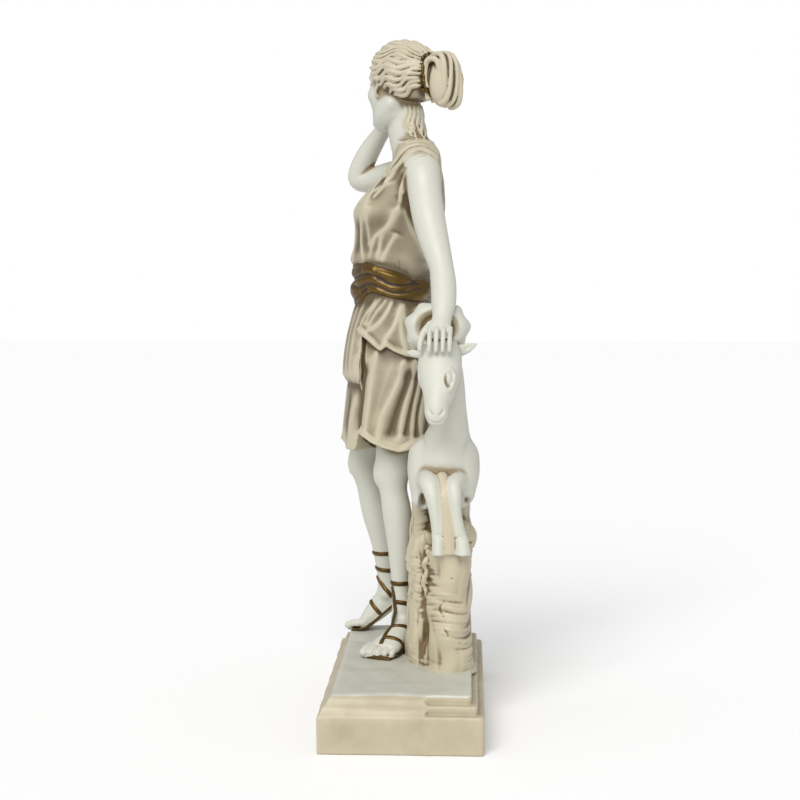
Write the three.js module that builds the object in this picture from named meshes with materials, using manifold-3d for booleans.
// A souvenir statuette in the classical manner. A woman in a short belted tunic walks beside a leaping deer and
// rests her left hand on its head. Figure, deer, tree stump and stepped plinth are one solid casting.
// Millimetres, +Z up. She faces -Y and her left side is +X. The origin is the centre of the plinth's underside.

import * as THREE from "three";
import Module from "manifold-3d";

const wasm = await Module();
wasm.setup();

// Driving dimensions
const PLINTH = { length: 118, width: 57, blockTop: 13.4, stepTop: 16.6, top: 19.8, step: 2.2, corner: 1.5 };
const FIGURE = { x: -27, hem: 93, overfoldHem: 130, waist: 155, neckline: 180, shoulder: 200 };
const HEAD = { x: -28, y: -3.5, z: 230.5, turn: -35, crown: 18.4, chin: -16 };
const DEER = { y: 13.5, chestX: 12, rumpX: -46, back: 98, belly: 74 };
const STUMP = { top: 60.5, frontX: 12, backX: -9 };
const LIFT = { height: 2.5, shins: [20, 64], neck: [196, 252] };
const MARBLE_COLOUR = 0xded8c8;

const ALONG_X = new THREE.Vector3(1, 0, 0);
const ALONG_Y = new THREE.Vector3(0, 1, 0);
const ALONG_Z = new THREE.Vector3(0, 0, 1);
const { lerp, clamp, smoothstep, degToRad, radToDeg } = THREE.MathUtils;

// Solids from stacked rings

// The tables below count heights on an even scale. The casting is longer in the shins and shorter in the neck
// than that, so all between them stands higher by the lift.
function raised(z) {
  return z + LIFT.height * smoothstep(z, ...LIFT.shins) * (1 - smoothstep(z, ...LIFT.neck));
}

function solidOf(geometry) {
  const points = new Float32Array(geometry.getAttribute("position").array);
  for (let i = 2; i < points.length; i += 3) points[i] = raised(points[i]);
  return new wasm.Manifold(
    new wasm.Mesh({
      numProp: 3,
      vertProperties: points,
      triVerts: new Uint32Array(geometry.index.array),
    }),
  );
}

// Skins a stack of rings, each with the same number of points, and closes both ends with a fan.
// A looped stack joins its last ring to its first instead.
function skin(rings, looped = false) {
  const sides = rings[0].length;
  const points = rings.flat();
  const faces = [];
  const bands = looped ? rings.length : rings.length - 1;
  for (let i = 0; i < bands; i++) {
    const low = i * sides;
    const high = ((i + 1) % rings.length) * sides;
    for (let j = 0; j < sides; j++) {
      const next = (j + 1) % sides;
      faces.push(low + j, low + next, high + next, low + j, high + next, high + j);
    }
  }
  if (!looped) {
    const last = points.length - sides;
    const centre = (from) =>
      points
        .slice(from, from + sides)
        .reduce((sum, point) => sum.add(point), new THREE.Vector3())
        .divideScalar(sides);
    const ends = [centre(0), centre(last)];
    const pole = points.length;
    points.push(...ends);
    for (let j = 0; j < sides; j++) {
      const next = (j + 1) % sides;
      faces.push(pole, next, j, pole + 1, last + j, last + next);
    }
  }
  return new THREE.BufferGeometry().setFromPoints(points).setIndex(faces);
}

function ellipseRing(centre, across, along, a, b, sides, relief) {
  return Array.from({ length: sides }, (_, j) => {
    const angle = (j / sides) * 2 * Math.PI;
    const lift = relief ? relief(radToDeg(angle)) : 0;
    return centre
      .clone()
      .addScaledVector(across, (a + lift) * Math.cos(angle))
      .addScaledVector(along, (b + lift) * Math.sin(angle));
  });
}

// A limb is an ellipse swept along a smooth path, flat where it starts and round where it ends. A station is
// [x, y, z, half-width, half-depth], and the half-width lies along the side direction.
// Relief, where given, lifts the surface by angle and share of length.
function limb(stations, { sides = 8, side = ALONG_X, relief = null, frame = null } = {}) {
  const path = new THREE.CatmullRomCurve3(stations.map(([x, y, z]) => new THREE.Vector3(x, y, z)));
  const girth = new THREE.CatmullRomCurve3(
    stations.map(([, , , a, b = a], i) => new THREE.Vector3(a, b, i)),
    false,
    "catmullrom",
  );
  const count = stations.length - 1;
  const rings = [];
  const addRing = (t, shrink, shift) => {
    const tangent = path.getTangent(t);
    const across = side.clone().addScaledVector(tangent, -side.dot(tangent)).normalize();
    const along = tangent.clone().cross(across);
    const { x: a, y: b } = girth.getPoint(t);
    const centre = path.getPoint(t).addScaledVector(tangent, shift * Math.min(a, b));
    const lift = relief && ((angle) => relief(angle, t));
    rings.push(ellipseRing(centre, across, along, a * shrink, b * shrink, sides, shrink === 1 ? lift : null));
  };
  for (let i = 0; i <= count; i++) addRing(i / count, 1, 0);
  addRing(1, 0.55, 0.8);
  const geometry = skin(rings);
  if (frame) geometry.applyMatrix4(frame);
  return solidOf(geometry);
}

const join = (solids) => wasm.Manifold.union(solids);

// Cloth helpers. An angle of 0 degrees is her front, 90 her left side, 180 her back.

const turned = (degrees) => ((((degrees + 180) % 360) + 360) % 360) - 180;

// Reads [height, x, y, half-width, half-depth] stations at any height between them.
function sectionAt(stations, z) {
  let i = stations.findIndex(([height]) => height <= z);
  i = clamp(i, 1, stations.length - 1);
  const [above, below] = [stations[i - 1], stations[i]];
  const t = smoothstep((above[0] - z) / (above[0] - below[0]), -0.25, 1.25);
  return above.map((value, k) => lerp(value, below[k], clamp(t, 0, 1)));
}

// A fold is a rounded ridge from a head to a foot, each an angle and a height on the cloth.
function ridge(angle, z, { head, foot, lift, width }) {
  const t = (head[1] - z) / (head[1] - foot[1]);
  if (t < -0.1 || t > 1.1) return 0;
  const off = turned(angle - lerp(head[0], foot[0], t)) / width;
  return lift * Math.exp(-off * off) * smoothstep(t, -0.1, 0.2) * (1 - smoothstep(t, 0.92, 1.1));
}

const folded = (angle, z, folds) => folds.reduce((sum, fold) => sum + ridge(angle, z, fold), 0);

// Hangs cloth round the body from a level top down to a hem whose height may change with the angle.
function drape({ stations, top, hem, folds, flare = 0, sides, rows }) {
  const rings = [];
  for (let i = rows; i >= 0; i--) {
    const share = i / rows;
    const ring = [];
    for (let j = 0; j < sides; j++) {
      const around = (j / sides) * 2 * Math.PI;
      const angle = turned(radToDeg(around) + 90);
      const z = lerp(top, hem(angle), share);
      const [, x, y, a, b] = sectionAt(stations, z);
      const lift = folded(angle, z, folds) + flare * smoothstep(share, 0.75, 1);
      ring.push(new THREE.Vector3(x + (a + lift) * Math.cos(around), y + (b + lift) * Math.sin(around), z));
    }
    rings.push(ring);
  }
  return solidOf(skin(rings));
}

// Plinth

function plinth() {
  const half = [PLINTH.length / 2, PLINTH.width / 2];
  const outline = (inset, z) => {
    const ring = [];
    for (let corner = 0; corner < 4; corner++) {
      const [sx, sy] = [[1, 1], [-1, 1], [-1, -1], [1, -1]][corner];
      for (const turn of [0, 45, 90]) {
        const angle = degToRad(corner * 90 + turn);
        const reach = PLINTH.corner;
        ring.push(
          new THREE.Vector3(
            sx * (half[0] - inset - reach) + reach * Math.cos(angle),
            sy * (half[1] - inset - reach) + reach * Math.sin(angle),
            z,
          ),
        );
      }
    }
    return ring;
  };
  const { blockTop, stepTop, top, step } = PLINTH;
  const profile = [
    [0.7, 0],
    [0, 0.9],
    [0, blockTop - 0.6],
    [0.5, blockTop],
    [step, blockTop + 0.5],
    [step + 0.2, stepTop - 0.4],
    [step + 0.6, stepTop],
    [2 * step - 0.2, stepTop + 0.8],
    [2 * step, top - 0.5],
    [2 * step + 0.5, top],
  ];
  return solidOf(skin(profile.map(([inset, z]) => outline(inset, z))));
}

// Tree stump: a front block under the hooves, a trunk under the belly and a root against her calf

function stump() {
  const bark = (strips, lift) => (angle, t) =>
    lift * (Math.sin(degToRad(angle * strips + 160 * t)) + 0.6 * Math.sin(degToRad(angle * 3 - 220 * t)));
  const { top, frontX, backX } = STUMP;
  const sunk = PLINTH.top - 3;
  return join([
    limb(
      [
        [frontX - 1, 15.6, sunk, 13.4, 10],
        [frontX, 15.9, 30, 11.4, 8.4],
        [frontX + 1, 16, 46, 11.3, 7.9],
        [frontX + 1.6, 16.2, top - 3, 12, 8],
      ],
      { sides: 14, relief: bark(5, 0.5) },
    ),
    limb(
      [
        [backX, 13, sunk, 17, 10.6],
        [backX, 13, 38, 14, 9],
        [backX - 1, 13, 58, 13.4, 8.4],
        [backX - 1, 13, DEER.belly + 2, 14.5, 9],
      ],
      { sides: 14, relief: bark(5, 0.6) },
    ),
    limb(
      [
        [-3, 4.5, sunk, 6.5, 5],
        [-4, 4.6, 34, 4.6, 4],
        [-3, 4.4, 54, 4.4, 4.2],
        [-3, 6.5, 78, 5, 4],
      ],
      { relief: bark(4, 0.5) },
    ),
  ]);
}

// Deer

function deer() {
  const { y, chestX, rumpX, back, belly } = DEER;
  const mid = (back + belly) / 2;
  const body = limb(
    [
      [chestX + 1, y, mid + 1, 11, 10.8],
      [chestX - 10, y + 0.4, mid + 1, 10.9, 12.2],
      [-16, y + 0.8, mid - 1, 9.6, 11],
      [-32, y + 1, mid - 3, 9.8, 11.2],
      [rumpX + 4, y + 0.6, mid - 5, 8.6, 10],
    ],
    { sides: 12, side: ALONG_Y },
  );
  const neck = limb(
    [
      [chestX - 8, y + 0.5, 90, 11, 11],
      [chestX - 4, y + 1.8, 100, 8.2, 9.2],
      [chestX + 1, y + 2, 112, 6.5, 7.6],
      [chestX + 8, y + 0.5, 129, 6, 6.4],
    ],
    { sides: 10, side: ALONG_Y },
  );
  const head = limb(
    [
      [19.6, y - 0.1, 133, 6, 5.6],
      [24, y - 0.4, 128.6, 7.8, 6.2],
      [27, y - 0.9, 122, 6.8, 5.8],
      [31.4, y - 2.1, 114, 4.8, 4.5],
      [33.8, y - 2.5, 110, 3.8, 3],
    ],
    { sides: 10, side: ALONG_Y },
  );
  // Cast brow ridges and eyes, one on each side
  const eyes = [-1, 1].map((s) =>
    limb([[24.5, y - 0.6 + s * 6.6, 126.4, 1.2], [27.5, y - 1.1 + s * 5.8, 121, 1.2]], { sides: 5 }),
  );
  const ears = [-1, 1].map((s) =>
    limb(
      [
        [18.6, y - 0.3 + s * 6.2, 130 + s * 0.4, 1.4, 1.8],
        [18.4, y - 0.3 + s * 9, 131.4 + s * 0.8, 1.2, 2.2],
        [18, y - 0.4 + s * 12, 133.3 + s * 1.3, 0.6, 0.9],
      ],
      { sides: 6 },
    ),
  );
  // Broad palmate antlers that cup the resting hand, each a crescent on a thin web
  const antlers = [-1, 1].map((s) =>
    limb(
      [
        [19, y - 1.9 + s * 5.2, 132.8, 2.2, 2.2],
        [17.8, y - 2 + s * 8.8, 136, 2.6, 2.6],
        [17.4, y - 2 + s * 8.8, 141, 2.8, 2.8],
        [17, y - 2 + s * 6.6, 145.6, 2.8, 2.6],
        [16.6, y - 2 + s * 2.6, 147, 1.8, 1.6],
      ],
      { sides: 6 },
    ),
  );
  const web = limb([[14.5, y - 2, 140.5, 9.4, 8], [17.2, y - 2, 140, 9.4, 7.6]], { sides: 10, side: ALONG_Y });
  const forelegs = [-1, 1].map((s) =>
    limb(
      [
        [chestX - 2, y + s * 6.1, 83, 4.6, 5.6],
        [chestX + 6, y + s * 5.3, 86.3, 3.6, 3.6],
        [chestX + 12.2, y + 0.1 + s * 4.2, 85.7, 2.9, 2.7],
        [chestX + 13.2, y + 0.9 + s * 4, 78, 2.4, 2.6],
        [chestX + 12.6, y + 2 + s * 4.1, 68, 2.3, 2.4],
        [chestX + 12.6, y + 2.7 + s * 4.2, 62, 2.9, 3.2],
      ],
      { sides: 6, side: ALONG_Y },
    ),
  );
  const hindlegs = [-1, 1].map((s) =>
    limb(
      [
        [rumpX + 6, y + s * 5, 79, 5.4, 9],
        [rumpX + 4, y + s * 6, 66, 4, 6.4],
        [rumpX - 3, y + s * 5.6, 52, 2.8, 3.6],
        [rumpX - 1 + s, y + s * 5.4, 36, 2.2, 2.4],
        [rumpX + 1 + s * 2, y + s * 5.6, 22.5, 3, 3.4],
      ],
      { sides: 6, side: ALONG_Y },
    ),
  );
  const tail = limb([[rumpX - 3, y, 86, 3, 2], [rumpX - 7.4, y, 79, 2, 1.4]], { sides: 6, side: ALONG_Y });
  return join([body, neck, head, web, tail, ...eyes, ...ears, ...antlers, ...forelegs, ...hindlegs]);
}

// Bare limbs of the figure

function toes(ball, forward, across, spread) {
  return [-2, -1, 0, 1, 2].map((k) => {
    const size = 1.55 - 0.17 * (k + 2);
    const root = ball.clone().addScaledVector(across, k * spread).addScaledVector(forward, -1.6);
    const tip = root.clone().addScaledVector(forward, 6.6 - 0.55 * (k + 2));
    return limb([[...root, size], [...tip.setZ(tip.z - 0.6), size * 0.8]], { sides: 4, side: across });
  });
}

function leftLeg() {
  const leg = limb(
    [
      [-16, -3.5, 112, 9.5, 10],
      [-15.2, -4.8, 95, 7.4, 7.4],
      [-14.6, -6, 84.5, 6, 6.4],
      [-14.8, -5.5, 77.5, 5.3, 5.3],
      [-15, -4.2, 69, 5.5, 5.5],
      [-15.2, -3.1, 48, 3.6, 3.7],
      [-15.6, -2, 31, 3.5, 4.2],
    ],
    { sides: 12 },
  );
  const forward = new THREE.Vector3(0.92, -0.39, 0);
  const across = new THREE.Vector3(0.39, 0.92, 0);
  const foot = limb(
    [
      [-20, 1.4, 23.8, 3.8, 4.2],
      [-14, -1, 25, 4, 5.4],
      [-7, -4.8, 24, 4.8, 4.4],
      [-1, -8.4, 22.4, 6.4, 2.8],
    ],
    { sides: 10, side: across },
  );
  return join([leg, foot, ...toes(new THREE.Vector3(0.5, -9, 21.8), forward, across, 2.6)]);
}

function rightLeg() {
  const leg = limb(
    [
      [-37, -6, 112, 9.5, 10],
      [-38, -14.4, 97, 7.4, 7.8],
      [-38.6, -17.4, 85.5, 6.1, 6.3],
      [-39, -16, 77, 5.3, 5.3],
      [-39.6, -13.6, 66, 5.4, 5.5],
      [-41.2, -10.6, 48, 3.5, 3.7],
      [-42.4, -9, 37, 3.5, 4.2],
    ],
    { sides: 12 },
  );
  const forward = new THREE.Vector3(-0.3, -0.95, 0).normalize();
  const across = new THREE.Vector3(-0.95, 0.3, 0).normalize();
  const foot = limb(
    [
      [-42.2, -6, 34, 3.5, 4],
      [-43.4, -10.6, 30.4, 3.9, 4.8],
      [-44.6, -14.6, 26.2, 4.4, 3.8],
      [-45.6, -18, 22.8, 4.8, 2.6],
    ],
    { sides: 10, side: across },
  );
  return join([leg, foot, ...toes(new THREE.Vector3(-45.8, -18.8, 21.8), forward, across.negate(), 2.1)]);
}

function fingers(knuckles, across, spread, joints, size) {
  return [-1.5, -0.5, 0.5, 1.5].map((k) => {
    const shift = across.clone().multiplyScalar(k * spread);
    const shorter = 1 - 0.06 * Math.abs(k - 0.5);
    const line = joints.map(([x, y, z], i) => {
      const reach = new THREE.Vector3(x, y, z).multiplyScalar(shorter);
      return [...reach.add(knuckles).add(shift), size * (1 - 0.09 * i)];
    });
    return limb(line, { sides: 4, side: across });
  });
}

function leftArm() {
  const arm = limb(
    [
      [-17, 4.2, 198, 5.4, 6.4],
      [-10.4, 5.4, 197, 6.4, 6.6],
      [-5, 6.6, 188, 6.1, 6.2],
      [0.5, 8.4, 178, 5.6, 5.9],
      [8, 12, 164.6, 4.6, 4.7],
      [14, 13.7, 154.6, 4.4, 4.6],
      [20, 13.5, 145.4, 3.3, 3.8],
      [24, 12.8, 141, 2.7, 4.2],
    ],
    { sides: 10 },
  );
  const knuckles = new THREE.Vector3(26, 12.5, 140.2);
  const joints = [[0, 0, 0], [3.6, 0, -1.8], [5.2, 0, -5], [5.6, 0, -8.4]];
  const thumb = limb([[22.4, 9.6, 142, 1.6], [25.4, 7.2, 139, 1.4], [27.8, 6.2, 134, 1.2]], { sides: 6 });
  return join([arm, thumb, ...fingers(knuckles, ALONG_Y.clone(), 2.3, joints, 1.35)]);
}

function rightArm() {
  const arm = limb(
    [
      [-44, 3, 198.5, 6.2],
      [-49, -7, 198, 5.6],
      [-52.6, -16, 196, 5],
      [-54, -21, 196.4, 4.6],
      [-53.4, -20.4, 201.4, 4.7],
      [-51.6, -16.6, 208, 4.2],
      [-49, -12, 215, 3.3],
      [-46.6, -8.4, 220, 2.9],
      [-44.2, -5, 224, 3.2],
    ],
    { sides: 10 },
  );
  const knuckles = new THREE.Vector3(-43.4, -3.4, 225.2);
  const across = new THREE.Vector3(0.5, -0.3, -0.8).normalize();
  const joints = [[0, 0, 0], [1.8, 3.2, 2.2], [4, 5.6, 2.6], [6, 6.6, 1.4]];
  const thumb = limb([[-44, -5, 221.6, 1.6], [-40.6, -4.6, 222.6, 1.4], [-38, -3.4, 224.6, 1.2]], { sides: 6 });
  return join([arm, thumb, ...fingers(knuckles, across, 2.1, joints, 1.3)]);
}

function neckAndShoulders() {
  const { x, shoulder } = FIGURE;
  return join([
    limb(
      [
        [x, 2.4, shoulder - 4, 9.6, 9],
        [x, 0.9, shoulder + 5, 7.6, 7.6],
        [x - 0.5, -0.9, shoulder + 12, 7, 7],
        [x - 1, -2, shoulder + 20, 7.2, 7.4],
      ],
      { sides: 12 },
    ),
    limb(
      [
        [-11, 4.6, shoulder - 1.4, 6, 6.4],
        [-17, 4, shoulder + 2.6, 5.8, 7],
        [x, 3.4, shoulder + 5, 5.6, 7.4],
        [-38, 3.4, shoulder + 2.8, 5.8, 7],
        [-45.6, 2.6, shoulder - 1.4, 6, 6.4],
      ],
      { side: ALONG_Z },
    ),
  ]);
}

// Tunic: bodice, sash, overfold and skirt

function bodice() {
  const { x, waist, neckline, shoulder } = FIGURE;
  const stations = [
    [shoulder + 4, x, 2.4, 14, 7.6],
    [shoulder - 1, x, 1.6, 19.6, 10.4],
    [shoulder - 9, x, -1.2, 20, 13.8],
    [184, x, -3.2, 19.4, 16.2],
    [177, x, -4, 18.4, 15.6],
    [170, x, -5.4, 17.2, 14.6],
    [waist + 8, x, -6.8, 16.8, 14.4],
    [waist - 6, x, -6.4, 16, 13.6],
  ];
  const folds = [];
  // Folds fan from the pin on each shoulder to the belt across her front
  for (let i = 0; i < 5; i++) {
    folds.push({ head: [112 - 6 * i, 204], foot: [-4 + 17 * i, 163], lift: 1.1 - 0.1 * i, width: 5 });
    folds.push({ head: [-112 + 6 * i, 204], foot: [-14 - 17 * i, 163], lift: 1.1 - 0.1 * i, width: 5 });
  }
  // Folds gather down her back
  for (let i = -2; i <= 2; i++) {
    folds.push({ head: [180 + 26 * i, 200], foot: [180 + 13 * i, 163], lift: 0.9, width: 5 });
  }
  const cloth = drape({ stations, top: shoulder + 4, hem: () => waist - 6, folds, sides: 36, rows: 9 });
  const breasts = [-1, 1].map((s) =>
    limb([[x + s * 8, -9.6, 186, 6.8], [x + s * 8.2, -11.8, neckline + 4.6, 6.6]], { sides: 10 }),
  );
  return join([cloth, ...breasts]);
}

function sash() {
  const { x, waist } = FIGURE;
  const sides = 5;
  const turns = 22;
  // Each roll of cloth rides higher on her front than on her back, and swells and thins on its way round
  const rolls = [
    { front: 6, back: -1.5, high: 3.4, deep: 2.6, out: 15.6, wave: 0.5 },
    { front: -4, back: -3.4, high: 3.6, deep: 3, out: 16.2, wave: -0.7 },
  ];
  const hoop = ({ front, back, high, deep, out, wave }) => {
    const rings = [];
    for (let i = 0; i < turns; i++) {
      const angle = turned((i / turns) * 360);
      const around = degToRad(angle - 90);
      const outward = new THREE.Vector3(Math.cos(around), Math.sin(around), 0);
      const ahead = (1 + Math.cos(degToRad(angle))) / 2;
      const rise = lerp(back, front, ahead) + wave * Math.sin(degToRad(angle * 3));
      const swell = 1 + 0.12 * Math.sin(degToRad(angle * 2 + 60 * wave));
      const centre = new THREE.Vector3(x, -6.4, waist + rise);
      centre.addScaledVector(ALONG_X, out * outward.x).addScaledVector(ALONG_Y, (out - 2) * outward.y);
      rings.push(ellipseRing(centre, outward, ALONG_Z, deep * swell, high * swell, sides));
    }
    return solidOf(skin(rings.reverse(), true));
  };
  return join(rolls.map(hoop));
}

// The overfold is long over her front and right hip, and caught up over her left hip and back
function overfoldHem(angle) {
  const front = smoothstep(angle, -120, -95) * (1 - smoothstep(angle, 34, 46));
  return FIGURE.overfoldHem - 13 * front + 1.6 * Math.sin(degToRad(angle * 5));
}

function overfold() {
  const { x, waist } = FIGURE;
  const stations = [
    [waist, x, -6.4, 15.6, 13],
    [145, x, -6, 17.6, 14.6],
    [136, x, -5.6, 20.6, 17.4],
    [126, x, -5.4, 21.8, 19.2],
    [114, x, -5.6, 22, 19.4],
  ];
  const folds = [];
  for (let i = 0; i < 13; i++) {
    const angle = 28 * i - 160 + 7 * Math.sin(2.3 * i);
    const lift = 1 + 0.4 * Math.sin(1.7 * i);
    folds.push({ head: [angle * 0.98, waist - 2], foot: [angle + 6, 112], lift, width: 7 });
  }
  return drape({ stations, top: waist, hem: overfoldHem, folds, flare: 0.6, sides: 40, rows: 5 });
}

function skirt() {
  const { hem } = FIGURE;
  const stations = [
    [140, -27, -5.4, 17.5, 15],
    [128, -26.6, -5, 20, 17.4],
    [115, -26.6, -5, 21.4, 18.4],
    [103, -26.6, -5.6, 22.6, 19.2],
    [hem, -26.6, -6, 23.4, 19.6],
  ];
  const folds = [
    // The cloth edge and the long fold that frame her left thigh
    { head: [52, 134], foot: [40, hem], lift: 2, width: 8 },
    { head: [104, 132], foot: [66, hem], lift: 1.3, width: 6 },
  ];
  for (let i = 0; i < 11; i++) {
    const angle = 100 + 24 * i + 5 * Math.sin(1.9 * i);
    const lift = 1.7 + 0.5 * Math.sin(2.6 * i);
    folds.push({ head: [angle + 6, 136], foot: [angle, hem - 4], lift, width: 7 });
  }
  // The hem is caught up a little over her front
  const lowHem = (angle) => {
    const caught = 3 * Math.exp(-(((angle + 8) / 30) ** 2));
    return hem + caught + 1.2 * Math.sin(degToRad(angle * 2 + 20));
  };
  return drape({ stations, top: 140, hem: lowHem, folds, flare: 1.6, sides: 42, rows: 7 });
}

// Head, built facing -Y about its own centre and then turned to her right

function head() {
  const { x, y, z, turn, crown, chin } = HEAD;
  const frame = new THREE.Matrix4().makeRotationZ(degToRad(turn)).setPosition(x, y, z);
  const skull = limb(
    [
      [0, -7.4, chin + 1.6, 3, 2.6],
      [0, -5.4, chin + 4.4, 6, 5.4],
      [0, -3.4, -7, 8.2, 8.4],
      [0, -1.6, -1, 9.4, 10.4],
      [0, -0.6, 5, 10, 11.6],
      [0, 0.6, 11, 9.6, 11.2],
      [0, 1.6, crown - 3.4, 6.8, 8],
    ],
    { sides: 14, frame },
  );
  const nose = limb([[0, -11.4, 5.4, 1.1, 1], [0, -12.6, 0, 1.4, 1.4], [0, -12.8, -2.2, 1.7, 1.3]], {
    sides: 6,
    frame,
  });
  const lips = limb([[-2.2, -10.9, -6.4, 0.9], [0, -11.7, -6.2, 1.1], [2.2, -10.9, -6.4, 0.9]], {
    sides: 6,
    side: ALONG_Z,
    frame,
  });
  const eyelids = [-1, 1].map((s) =>
    limb([[s * 2.6, -10.4, 3, 0.9], [s * 4.3, -10.3, 3.2, 1.2], [s * 6, -9, 2.9, 0.9]], {
      sides: 6,
      side: ALONG_Z,
      frame,
    }),
  );
  return join([skull, nose, lips, ...eyelids, hair(frame)]);
}

function hair(frame) {
  const { crown } = HEAD;
  // Wavy locks run back from the brow to the tie
  const waves = (angle, t) => 0.7 * Math.sin(degToRad(angle * 8) + 2.4 * Math.sin(7 * t));
  const cap = limb(
    [
      [0, -9.8, 12.6, 7, 4],
      [0, -6, 9.8, 10.8, 8.6],
      [0, 0, 6.6, 12, crown - 6],
      [0, 6, 6, 11.6, crown - 6.6],
      [0, 11, 5, 8.8, 10],
      [0, 14.4, 4.6, 5.2, 7.6],
      [0, 17, 4.4, 5, 7.8],
    ],
    { sides: 24, relief: waves, frame },
  );
  const loops = (angle, t) => 0.8 * Math.sin(degToRad(angle * 4) + 2.4 * t);
  const knot = limb(
    [
      [0, 20.6, -6.4, 3.6, 4],
      [0, 21.4, -2, 5.6, 6],
      [0, 21.6, 4.4, 6.2, 6.4],
      [0, 20.8, 10.6, 5.8, 6],
      [0, 19.6, 14.4, 4, 4.4],
    ],
    { sides: 12, relief: loops, frame },
  );
  const nape = limb([[0, 9, -3, 4, 3], [0.4, 7.4, -12, 2.6, 2], [1, 7, -19, 1.6, 1.2]], { sides: 6, frame });
  return join([cap, knot, nape]);
}

// The whole casting

function statuette() {
  const casting = join([
    plinth(),
    stump(),
    deer(),
    leftLeg(),
    rightLeg(),
    skirt(),
    overfold(),
    sash(),
    bodice(),
    neckAndShoulders(),
    leftArm(),
    rightArm(),
    head(),
  ]);
  const { vertProperties, triVerts } = casting.getMesh();
  const geometry = new THREE.BufferGeometry()
    .setAttribute("position", new THREE.BufferAttribute(vertProperties, 3))
    .setIndex(new THREE.BufferAttribute(triVerts, 1));
  const marble = new THREE.MeshStandardMaterial({ color: MARBLE_COLOUR, roughness: 0.55, metalness: 0 });
  const mesh = new THREE.Mesh(geometry, marble);
  mesh.name = "statuette";
  return mesh;
}

const part = new THREE.Group();
part.add(statuette());

export default part;
